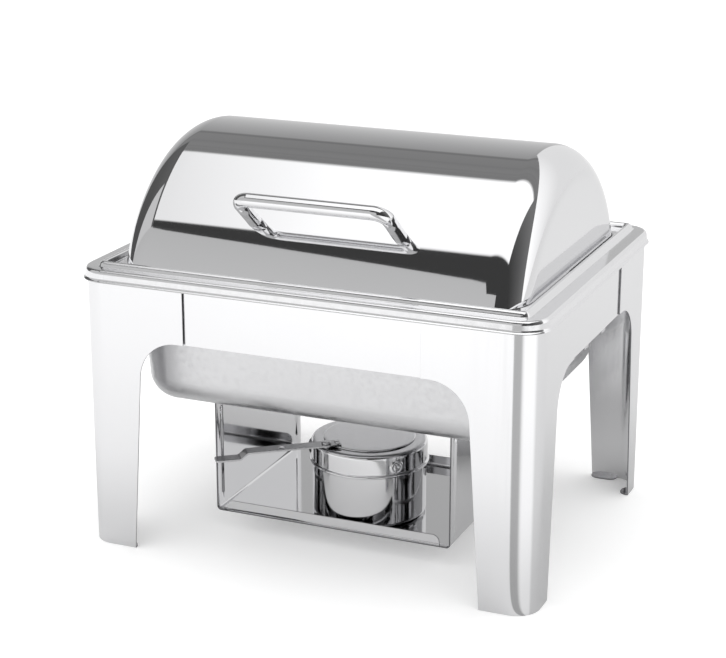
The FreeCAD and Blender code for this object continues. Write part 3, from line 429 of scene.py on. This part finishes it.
def water_pan():
    """Deep drawn tray whose underside shows under the aprons."""
    bm = bmesh.new()
    tray_skin(bm, tray(242.5, 121.5, 172.5, 133.0, 36, 4.5, 25))
    return piece("water_tub", bm, "frame", TUB, ("water_pan",),
                 centre=(0, 0, 0.2), gauge=PLATE, bevel=0.2 * MM)


def food_pan():
    """Half-size pan: rolled flange edge, flange, small shoulder and drawn walls."""
    bm = bmesh.new()
    rolled = [(162.5 - inset, 132.5 - inset, 18 - inset, height)
              for inset, height in ((0.5, 243.6), (0.05, 243.9), (0.2, 244.25), (0.8, 244.4), (8.0, 244.4),
                                    (9.3, 244.2), (10.3, 243.6), (10.8, 242.6))]
    tray_skin(bm, rolled + tray(241.5, 62.1, 151.4, 121.4, 25, 6, 14))
    return piece("food_pan_drawn", bm, "frame", PAN, ("food_pan",),
                 centre=(0, 0, 0.3), gauge=0.9 * MM * 0.9, bevel=0.0)


# ---------------------------------------------------------------- lid

def lid():
    """Drum segment with rounded ends. The end caps are flat and stand on the rim."""
    low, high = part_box("lid_shell")
    axis_height = AXIS_HEIGHT * MM
    radius = high.z - axis_height
    half = high.x
    base = low.z - axis_height
    start = base + 0.01 * MM
    rounding = 30 * MM
    bm = bmesh.new()
    profile = rounded_path([(-half, start), (-half, radius, rounding), (half, radius, rounding),
                            (half, start)], steps=20)
    rows = [profile[0].lerp(profile[1], k / 12) for k in range(12)]
    straight = [profile[21].lerp(profile[22], k / 24) for k in range(1, 24)]
    rows += profile[1:22] + straight + profile[22:-1]
    rows += [profile[-2].lerp(profile[-1], k / 12) for k in range(1, 13)]
    steps = 96
    loops = []
    for x, reach in rows:
        limit = math.acos(min(base / reach, 1.0))
        loops.append([(x, -reach * math.sin(limit * (2 * k / steps - 1)),
                       axis_height + reach * math.cos(limit * (2 * k / steps - 1)))
                      for k in range(steps + 1)])
    loft(bm, loops, closed=False)
    return piece("lid_drum", bm, "lid", LID, ("lid_shell",),
                 centre=(0, 0, axis_height), gauge=PLATE, bevel=0.2 * MM)


def handle():
    """Bent round rod whose feet follow the lid's curve."""
    rod, half, bend, offset, reach = 5.8, 63.5, 11.0, 6.0, 47.0
    slope, bar = math.radians(38.3), Vector((0, -148.0, 313.0))
    way = Vector((0, -math.cos(slope), math.sin(slope)))
    path = rounded_path([(-half, -reach), (-half, 0.0, bend), (half, 0.0, bend), (half, -reach)], steps=14)
    spots = [bar + way * p.y + Vector((offset + p.x, 0, 0)) for p in path]
    up = Vector((1, 0, 0)).cross(way)
    bm = bmesh.new()
    loops = []
    last = len(spots) - 1
    for place, spot in enumerate(spots):
        run = (spots[min(place + 1, last)] - spots[max(place - 1, 0)]).normalized()
        out = up.cross(run)
        loop = []
        for k in range(28):
            angle = math.tau * k / 28
            point = spot + (up * math.sin(angle) + out * math.cos(angle)) * rod
            if place in (0, last):
                point = on_lid(point, way)
            loop.append(point * MM)
        loops.append(loop)
    made = loft(bm, loops)
    for loop in (made[0], made[-1]):
        bm.faces.new(loop)
    return piece("handle_rod", bm, "lid", ROD, ("lid_handle",), centre=(0.01, -0.13, 0.3),
                 bevel=0.0)


def on_lid(point, way):
    """Slide a point along the handle's legs on to the lid's outside."""
    flat = Vector((0, point.y, point.z - AXIS_HEIGHT))
    along = flat.dot(way)
    return point - way * (along - math.sqrt(along * along - flat.dot(flat) + LID_RADIUS * LID_RADIUS))


# ---------------------------------------------------------------- burner shelf

def spread(start, stop, marks, coarse, fine, reach):
    """Places from start to stop, close together near the marks."""
    places, here = [start], start
    while here < stop - 1e-6:
        near = any(abs(here - mark) < reach or abs(here + fine - mark) < reach for mark in marks)
        here = min(here + (fine if near else coarse), stop)
        places.append(here)
    return places


def bead_height(y, z, centres, low, high):
    """How far a side plate is pressed out at a point, in mm, with a small pit near each bead's top."""
    half_width, proud, pit_radius, pit_depth = 3.2, 1.2, 1.5, 1.6
    press = 0.0
    for centre in centres:
        past = max(low + 3 - z, z - (high - 3), 0.0)
        away = math.hypot(y - centre, past)
        if away < half_width:
            press = max(press, proud * (0.5 + 0.5 * math.cos(math.pi * away / half_width)) ** 0.6)
        pit = math.hypot(y - centre, z - (high - 5))
        if pit < pit_radius:
            press -= pit_depth * (1 - (pit / pit_radius) ** 2)
    return press


def shelf():
    """Folded tray with two side plates that have pressed beads, and flanges at their tops."""
    low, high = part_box("burner_shelf")
    front, rear, bottom, top = low.y / MM, high.y / MM, low.z / MM, high.z / MM
    bead_low, bead_high = 30.0, 114.0
    beads = (front + 9.5, rear - 9.5)
    columns = spread(front, rear, beads, 6.0, 0.55, 4.0)
    heights = spread(bottom + 6.0, top - 4.0, (32.0, 109.0, 112.0), 6.0, 0.7, 3.0)
    floor_x = 90.0
    fold = rounded_path([(SHELF_X, top - 4.0), (SHELF_X, bottom, 3.6), (floor_x, bottom)], steps=10)
    flange = rounded_path([(SHELF_X, top - 4.0), (SHELF_X, top, 2.6), (120.0, top)], steps=8)
    right = flange[::-1][:-1] + [Vector((SHELF_X, z)) for z in heights[::-1]] + fold[1:]
    floor = [Vector((floor_x - 2 * floor_x * k / 12, bottom)) for k in range(1, 12)]
    section = right + floor + [Vector((-p.x, p.y)) for p in right][::-1]
    bm = bmesh.new()
    loops = []
    for p in section:
        loop = []
        for y in columns:
            upright = abs(abs(p.x) - SHELF_X) < 0.01
            press = bead_height(y, p.y, beads, bead_low, bead_high) if upright else 0.0
            loop.append(((p.x + math.copysign(press, p.x)) * MM, y * MM, p.y * MM))
        loops.append(loop)
    loft(bm, loops, closed=False)
    return piece("shelf_sheet", bm, "frame", SHELF, ("burner_shelf",),
                 centre=(0, 0, 0.1), gauge=SHEET, bevel=0.0, cut_edge_and_seam_shade=CUT_EDGE_AND_SEAM_SHADE)


def shelf_lip(name, face, inwards):
    """Low upright lip along one edge of the shelf's floor, bent up out of it."""
    half, bend_top, top = 98.0, 22.6, 29.6
    bm = bmesh.new()
    outline = rounded_path([(half, bend_top), (half, top, 6), (-half, top, 6), (-half, bend_top)], steps=8)
    fill(bm, [outline], lambda p: (p.x * MM, face * MM, p.y * MM))
    bend = [(face, bend_top), (face + inwards * 0.3, 21.1), (face + inwards * 1.1, 19.9),
            (face + inwards * 2.2, 19.45), (face + inwards * 4.0, 19.42)]
    loft(bm, [[(x * MM, y * MM, z * MM) for x in (-half, 0.0, half)] for y, z in bend], closed=False)
    return piece(f"shelf_lip_{name}", bm, "frame", SHELF,
                 centre=(0, 0, 0.1), gauge=SHEET, bevel=0.2 * MM, cut_edge_and_seam_shade=CUT_EDGE_AND_SEAM_SHADE)


# ---------------------------------------------------------------- burner

POT = (13 * MM, -43 * MM)


def scaled(profile):
    """A profile in mm, in metres."""
    return [(radius * MM, height * MM) for radius, height in profile]


def pot():
    """Drawn cup with a rounded foot and a slightly raised floor."""
    bm = bmesh.new()
    radius, bottom = 49.2, 20.8
    wall = rounded_path([(45.0, bottom), (radius, bottom, 4.0), (radius, 30.0)], steps=8)
    profile = [(0.05, 22.3), (30.0, 22.3), (40.0, 22.0), (44.0, 21.2)] + [(p.x, p.y) for p in wall]
    profile += [(radius, z) for z in (36.0, 48.0, 60.0, 72.0, 84.0)]
    lathe(bm, scaled(profile), POT)
    return piece("pot_cup", bm, "burner_pot", POT_STEEL, ("pot_body",),
                 centre=(*POT, 0.05), gauge=THIN, bevel=0.1 * MM)


def cap():
    """Slip-on cap: rolled bead, band with a slit, rounded shoulder and a turned-down opening."""
    bm = bmesh.new()
    top = 86.95
    bead = [(49.9, 66.7), (50.7, 66.65), (51.3, 67.1), (51.58, 67.9), (51.3, 68.7), (50.7, 69.2),
            (50.15, 69.7)]
    band = [(CAP_RADIUS, z) for z in (70.1, 75.0, 81.1)]
    shoulder = rounded_path([(CAP_RADIUS, 82.0), (CAP_RADIUS, top, 3.4), (44.0, top)], steps=8)
    inner = [(41.0, top), (37.5, 86.9), (36.6, 86.6), (36.2, 85.8)]
    profile = bead + band + [(p.x, p.y) for p in shoulder] + inner
    slit = 232.0
    segments = 180

    def in_slit(row, k):
        bearing = 360.0 * (k + 0.5) / segments
        return len(bead) <= row < len(bead) + 2 and abs(bearing - slit) < 180.0 / segments

    lathe(bm, scaled(profile), POT, segments, in_slit)
    return piece("cap_pressing", bm, "burner_pot", CAP, ("pot_cap",),
                 centre=(*POT, 0.05), gauge=THIN, bevel=0.1 * MM)


def cap_boss():
    """Round boss on the cap's band with a small hollow rivet in it."""
    bearing = math.radians(-40)
    out = Vector((math.cos(bearing), math.sin(bearing), 0))
    side, up = Vector((-out.y, out.x, 0)), Vector((0, 0, 1))
    middle = Vector((*POT, 75.5 * MM))
    bm = bmesh.new()
    profile = [(6.6, 49.9), (6.2, 50.35), (5.4, 50.9), (4.6, 51.0), (3.9, 50.7), (3.3, 50.5), (2.7, 50.75),
               (2.2, 51.2), (1.8, 51.1), (1.5, 50.6), (1.4, 49.6)]
    loops = []
    for radius, reach in profile:
        loop = []
        for k in range(40):
            angle = math.tau * k / 40
            across, rise = radius * math.cos(angle), radius * math.sin(angle)
            sag = CAP_RADIUS - math.sqrt(CAP_RADIUS * CAP_RADIUS - across * across)
            loop.append(middle + (out * (reach - sag) + side * across + up * rise) * MM)
        loops.append(loop)
    loft(bm, loops)
    return piece("cap_boss", bm, "burner_pot", CAP, centre=middle, bevel=0.0)


def disc():
    """Flat disc with a softly turned edge that lies on the cap."""
    bm = bmesh.new()
    profile = [(39.45, 87.12), (39.5, 87.5), (39.4, 87.9), (39.1, 88.15), (38.6, 88.28), (37.0, 88.3),
               (28.0, 88.26), (16.0, 88.2), (6.0, 88.17), (0.05, 88.16)]
    lathe(bm, scaled(profile), POT, 120)
    return piece("disc_pressing", bm, "regulator", DISC, ("regulator_disc",),
                 centre=(*POT, 0.08), gauge=1.0 * MM, bevel=0.0)


def lever():
    """Flat strip from the disc out past the pot, stepped down to a finger plate."""
    run, step, drop, tip = 81.0, 6.0, 5.0, 21.0
    half, hole_place, hole_radius = 6, 51, 3
    near, far = 0.2, run + step + tip - 0.2
    bm = bmesh.new()
    outline = rounded_path([(near, -half), (far, -half, 3), (far, half, 3), (near, half)], steps=8)
    angles = [math.tau * k / 32 for k in range(32)]
    grip = [Vector((hole_place + hole_radius * math.cos(a), hole_radius * math.sin(a))) for a in angles]
    fill(bm, [outline, grip], lambda p: (p.x, p.y, 0.0))
    for k in range(9):
        for start in (run - 2, run + step - 2):
            geometry = bm.verts[:] + bm.edges[:] + bm.faces[:]
            bmesh.ops.bisect_plane(bm, geom=geometry, plane_co=(start + k / 2, 0, 0), plane_no=(1, 0, 0))
    start_x, start_y, top, bearing = -1.2, -73.6, 89.8, math.radians(217.4)
    for vert in bm.verts:
        x, y = vert.co.x, vert.co.y
        fall = drop * soft_step((x - run) / step)
        vert.co = Vector((start_x + x * math.cos(bearing) - y * math.sin(bearing),
                          start_y + x * math.sin(bearing) + y * math.cos(bearing), top - fall)) * MM
    return piece("lever_strip", bm, "regulator", ARM, ("regulator_arm",),
                 centre=(0, 0, 0), gauge=1.5 * MM * 0.98, bevel=0.25 * MM)


def soft_step(share):
    """Straight step from 0 to 1 with both bends eased."""
    ease = 0.18
    share = min(max(share, -ease), 1 + ease)
    if share < ease:
        return (share + ease) ** 2 / (4 * ease)
    if share > 1 - ease:
        return 1 - (1 + ease - share) ** 2 / (4 * ease)
    return share


# ---------------------------------------------------------------- stage and light

# Greys that the steel mirrors: degrees from straight up towards the front, and the grey.
OVERHEAD = [(-180, 0.85), (-90, 0.66), (-75, 0.55), (-52, 0.37), (-50, 0.36), (-49, 0.19), (-47.5, 0.19),
            (-46.5, 0.25), (-37, 0.24), (-36, 0.20), (-35, 0.24), (-30, 0.25), (-29, 0.20), (-28, 0.25),
            (-26, 0.22), (-23, 0.25), (-22, 1.35), (35, 1.35), (35.8, 0.05), (180, 0.05)]
LOW_FRONT = [(-180, 0.85), (36, 0.55), (48, 0.57), (72, 0.62), (180, 0.85)]
# The same by how far the mirrored way leans to the right, and for the last two to the rear.
BRIGHTEST = [(-1.0, 0.98), (-0.47, 0.98), (-0.38, 1.35), (1.0, 1.35)]
FAR_LEFT = [(-1.0, 0.09), (-0.80, 0.11), (-0.60, 0.13), (-0.48, 0.12), (1.0, 0.12)]
FAR_RIGHT = [(-1.0, 0.05), (-0.50, 0.05), (-0.10, 0.12), (0.25, 0.20), (1.0, 0.20)]
REAR_RIGHT = [(-1.0, 1.30), (0.30, 1.30), (0.60, 1.10), (0.80, 0.90), (1.0, 0.87)]
# Painted shade on the floor, seen only in mirrored rays: how dark the steel mirrors the floor, by distance
# from the middle in metres, and by bearing from the front about the front right leg.
FLOOR_PAINTED_SHADE_BY_DISTANCE = [(0.0, 0.82), (0.22, 0.66), (0.30, 0.66), (0.45, 0.80), (0.8, 0.88), (1.0, 0.90)]
FLOOR_PAINTED_SHADE_BY_BEARING = [(-180, 0.70), (-120, 0.85), (-60, 0.90), (-30, 1.0), (-16.5, 1.0), (-15, 0.34),
                  (16, 0.34), (26, 0.85), (34, 1.0), (78, 1.0), (92, 0.66), (140, 0.66), (180, 0.66)]
BEARINGS_ABOUT = (0.192, -0.150)

# The floor's white and the room's for every ray that isn't mirrored, and the floor's faint glow
FLOOR_WHITE, ROOM_WHITE, FLOOR_GLOW = 0.92, 1.15, 0.18
# Edges between the room's greys. The low grey in front begins where lean - LOW_SLOPE * x passes
# LOW_EDGE.
LOW_SLOPE, LOW_EDGE, LOW_RIGHT = 1.15, 1.285, 0.3
LEFT_EDGE, LEFT_REAR = -0.50, 0.50
STRIP_EDGE, STRIP_REAR, STRIP_GREY = -0.57, -0.08, 0.66
RIGHT_EDGE = 0.58
REAR_SLOPE, REAR_EDGE, REAR_LEFT = 0.49, 0.70, -0.2


def math_node(nodes, links, operation, first, second):
    """Result of one operation on sockets or numbers."""
    node = nodes.new("ShaderNodeMath")
    node.operation = operation
    for socket, value in zip(node.inputs, (first, second)):
        if isinstance(value, (int, float)):
            socket.default_value = value
        else:
            links.new(value, socket)
    return node.outputs["Value"]


def mix_grey(nodes, links, factor, first, second, blend="MIX"):
    """Mix of two greys, each a socket or a number."""
    node = nodes.new("ShaderNodeMix")
    node.data_type = "RGBA"
    node.blend_type = blend
    for socket, value in (("Factor", factor), ("A", first), ("B", second)):
        if isinstance(value, (int, float)):
            plain = value if socket == "Factor" else (value, value, value, 1)
            node.inputs[socket].default_value = plain
        else:
            links.new(value, node.inputs[socket])
    return node.outputs["Result"]


def ramp(nodes, links, value, stops):
    """Grey steps along a value: a list of (position, grey)."""
    node = nodes.new("ShaderNodeValToRGB")
    elements = node.color_ramp.elements
    elements[0].position, elements[1].position = stops[0][0], stops[-1][0]
    for position, _ in stops[1:-1]:
        elements.new(position)
    for element, (_, grey) in zip(elements, stops):
        element.color = (grey, grey, grey, 1)
    links.new(value, node.inputs["Fac"])
    return node.outputs["Color"]


def ramp_across(nodes, links, value, stops):
    """Grey steps along a value that runs from -1 to 1."""
    share = math_node(nodes, links, "MULTIPLY_ADD", value, 0.5)
    share.node.inputs[2].default_value = 0.5
    return ramp(nodes, links, share, [((place + 1) / 2, grey) for place, grey in stops])


def by_degrees(stops):
    """Stops by degrees from -180 to 180, as stops from 0 to 1."""
    return [((degrees + 180) / 360, grey) for degrees, grey in stops]


def share_of_turn(nodes, links, angle):
    """An angle from -180 to 180 degrees as a share from 0 to 1."""
    value = math_node(nodes, links, "MULTIPLY_ADD", angle, 1 / math.tau)
    value.node.inputs[2].default_value = 0.5
    return value


def all_of(nodes, links, *tests):
    """One where every test (value, comparison, limit) holds, and nought elsewhere."""
    result = 1.0
    for value, comparison, limit in tests:
        passed = math_node(nodes, links, comparison, value, limit)
        result = math_node(nodes, links, "MULTIPLY", result, passed)
    return result


def add_panel(name, place, size, turn, radiance):
    """Rectangular soft light whose face has the given brightness, hidden from mirrors."""
    data = bpy.data.lights.new(name, "AREA")
    data.shape = "RECTANGLE"
    data.size, data.size_y = size
    data.energy = radiance * math.pi * size[0] * size[1]
    light = bpy.data.objects.new(name, data)
    light.location = place
    light.rotation_euler = turn
    light.visible_glossy = False
    bpy.context.scene.collection.objects.link(light)


def studio():
    """Pale floor, with painted shade seen only in the steel's reflections, and a soft light overhead, which
    the steel doesn't mirror: it mirrors the room.
    """
    bpy.ops.mesh.primitive_plane_add(size=16)
    floor = bpy.context.object
    floor.name = "floor"
    material, nodes, links = new_material("floor_white_painted_shade")
    shader = nodes["Principled BSDF"]
    shader.inputs["Roughness"].default_value = 0.9
    shader.inputs["Specular IOR Level"].default_value = 0.1
    coords = nodes.new("ShaderNodeTexCoord")
    near = nodes.new("ShaderNodeVectorMath")
    near.operation = "LENGTH"
    links.new(coords.outputs["Object"], near.inputs[0])
    # Painted shade for mirrored rays: the floor darker near the stand, and darkest in a wedge in front of the
    # front right leg.
    painted_shade_near = ramp(nodes, links, near.outputs["Value"], FLOOR_PAINTED_SHADE_BY_DISTANCE)
    parts = nodes.new("ShaderNodeSeparateXYZ")
    links.new(coords.outputs["Object"], parts.inputs["Vector"])
    corner_x = math_node(nodes, links, "SUBTRACT", parts.outputs["X"], BEARINGS_ABOUT[0])
    corner_y = math_node(nodes, links, "SUBTRACT", BEARINGS_ABOUT[1], parts.outputs["Y"])
    bearing = math_node(nodes, links, "ARCTAN2", corner_x, corner_y)
    shadow = ramp(nodes, links, share_of_turn(nodes, links, bearing), by_degrees(FLOOR_PAINTED_SHADE_BY_BEARING))
    mirrored = mix_grey(nodes, links, 1.0, painted_shade_near, shadow, "MULTIPLY")
    path = nodes.new("ShaderNodeLightPath")
    color = mix_grey(nodes, links, path.outputs["Is Glossy Ray"], FLOOR_WHITE, mirrored)
    links.new(color, shader.inputs["Base Color"])
    shader.inputs["Emission Color"].default_value = (1, 1, 1, 1)
    shader.inputs["Emission Strength"].default_value = FLOOR_GLOW
    floor.data.materials.append(material)
    add_panel("overhead", (0.0, -0.35, 1.9), (2.0, 1.8), (0, 0, 0), 0.55)


def room():
    """World light: even white for the floor, and greys by direction for the steel to mirror."""
    world = bpy.data.worlds.new("studio_room")
    bpy.context.scene.world = world
    world.use_nodes = True
    nodes, links = world.node_tree.nodes, world.node_tree.links
    coords = nodes.new("ShaderNodeTexCoord")
    parts = nodes.new("ShaderNodeSeparateXYZ")
    links.new(coords.outputs["Generated"], parts.inputs["Vector"])
    x, y, z = parts.outputs["X"], parts.outputs["Y"], parts.outputs["Z"]
    forward = math_node(nodes, links, "MULTIPLY", y, -1.0)
    lean = math_node(nodes, links, "ARCTAN2", forward, z)
    turn = share_of_turn(nodes, links, lean)
    mirrored = ramp(nodes, links, turn, by_degrees(OVERHEAD))
    mirrored = math_node(nodes, links, "MINIMUM", mirrored, ramp_across(nodes, links, x, BRIGHTEST))

    # The low grey in front starts lower towards the right.
    side = math_node(nodes, links, "MAXIMUM", math_node(nodes, links, "MINIMUM", x, -0.2), -0.5)
    drop = math_node(nodes, links, "SUBTRACT", lean, math_node(nodes, links, "MULTIPLY", side, LOW_SLOPE))
    low = all_of(nodes, links, (drop, "GREATER_THAN", LOW_EDGE), (x, "LESS_THAN", LOW_RIGHT))
    mirrored = mix_grey(nodes, links, low, mirrored, ramp(nodes, links, turn, by_degrees(LOW_FRONT)))

    strip = all_of(nodes, links, (x, "LESS_THAN", STRIP_EDGE), (y, "LESS_THAN", STRIP_REAR))
    far_left = mix_grey(nodes, links, strip, ramp_across(nodes, links, x, FAR_LEFT), STRIP_GREY)
    left = all_of(nodes, links, (x, "LESS_THAN", LEFT_EDGE), (y, "LESS_THAN", LEFT_REAR),
                  (drop, "LESS_THAN", LOW_EDGE))
    mirrored = mix_grey(nodes, links, left, mirrored, far_left)

    right = all_of(nodes, links, (x, "GREATER_THAN", RIGHT_EDGE))
    mirrored = mix_grey(nodes, links, right, mirrored, ramp_across(nodes, links, y, FAR_RIGHT))
    corner = math_node(nodes, links, "ADD", y, math_node(nodes, links, "MULTIPLY", x, REAR_SLOPE))
    rear = all_of(nodes, links, (corner, "GREATER_THAN", REAR_EDGE), (x, "GREATER_THAN", REAR_LEFT))
    mirrored = mix_grey(nodes, links, rear, mirrored, ramp_across(nodes, links, y, REAR_RIGHT))

    path = nodes.new("ShaderNodeLightPath")
    color = mix_grey(nodes, links, path.outputs["Is Glossy Ray"], ROOM_WHITE, mirrored)
    links.new(color, nodes["Background"].inputs["Color"])
    nodes["Background"].inputs["Strength"].default_value = 1.0


def camera():
    """Long lens, from the front right and a little above."""
    data = bpy.data.cameras.new("camera")
    data.sensor_width = 36.0
    data.lens = 96.36
    view = bpy.data.objects.new("camera", data)
    view.location = (0.6202, -1.4865, 0.6782)
    view.rotation_euler = (math.radians(90 - 17.54), 0, math.radians(23.02))
    bpy.context.scene.collection.objects.link(view)
    bpy.context.scene.camera = view


dress_nodes()
for depth in ("front", "rear"):
    for side in ("left", "right"):
        leg(depth, side)
        foot_tabs(depth, side)
for name, along_x, side in (("front", True, -1), ("rear", True, 1), ("left", False, -1), ("right", False, 1)):
    apron(name, along_x, side)
rim()
water_pan()
food_pan()
lid()
handle()
shelf()
shelf_lip("front", -96.4, 1)
shelf_lip("rear", 73.9, -1)
pot()
cap()
cap_boss()
disc()
lever()
studio()
room()
camera()
bpy.context.scene.view_settings.view_transform = "Standard"
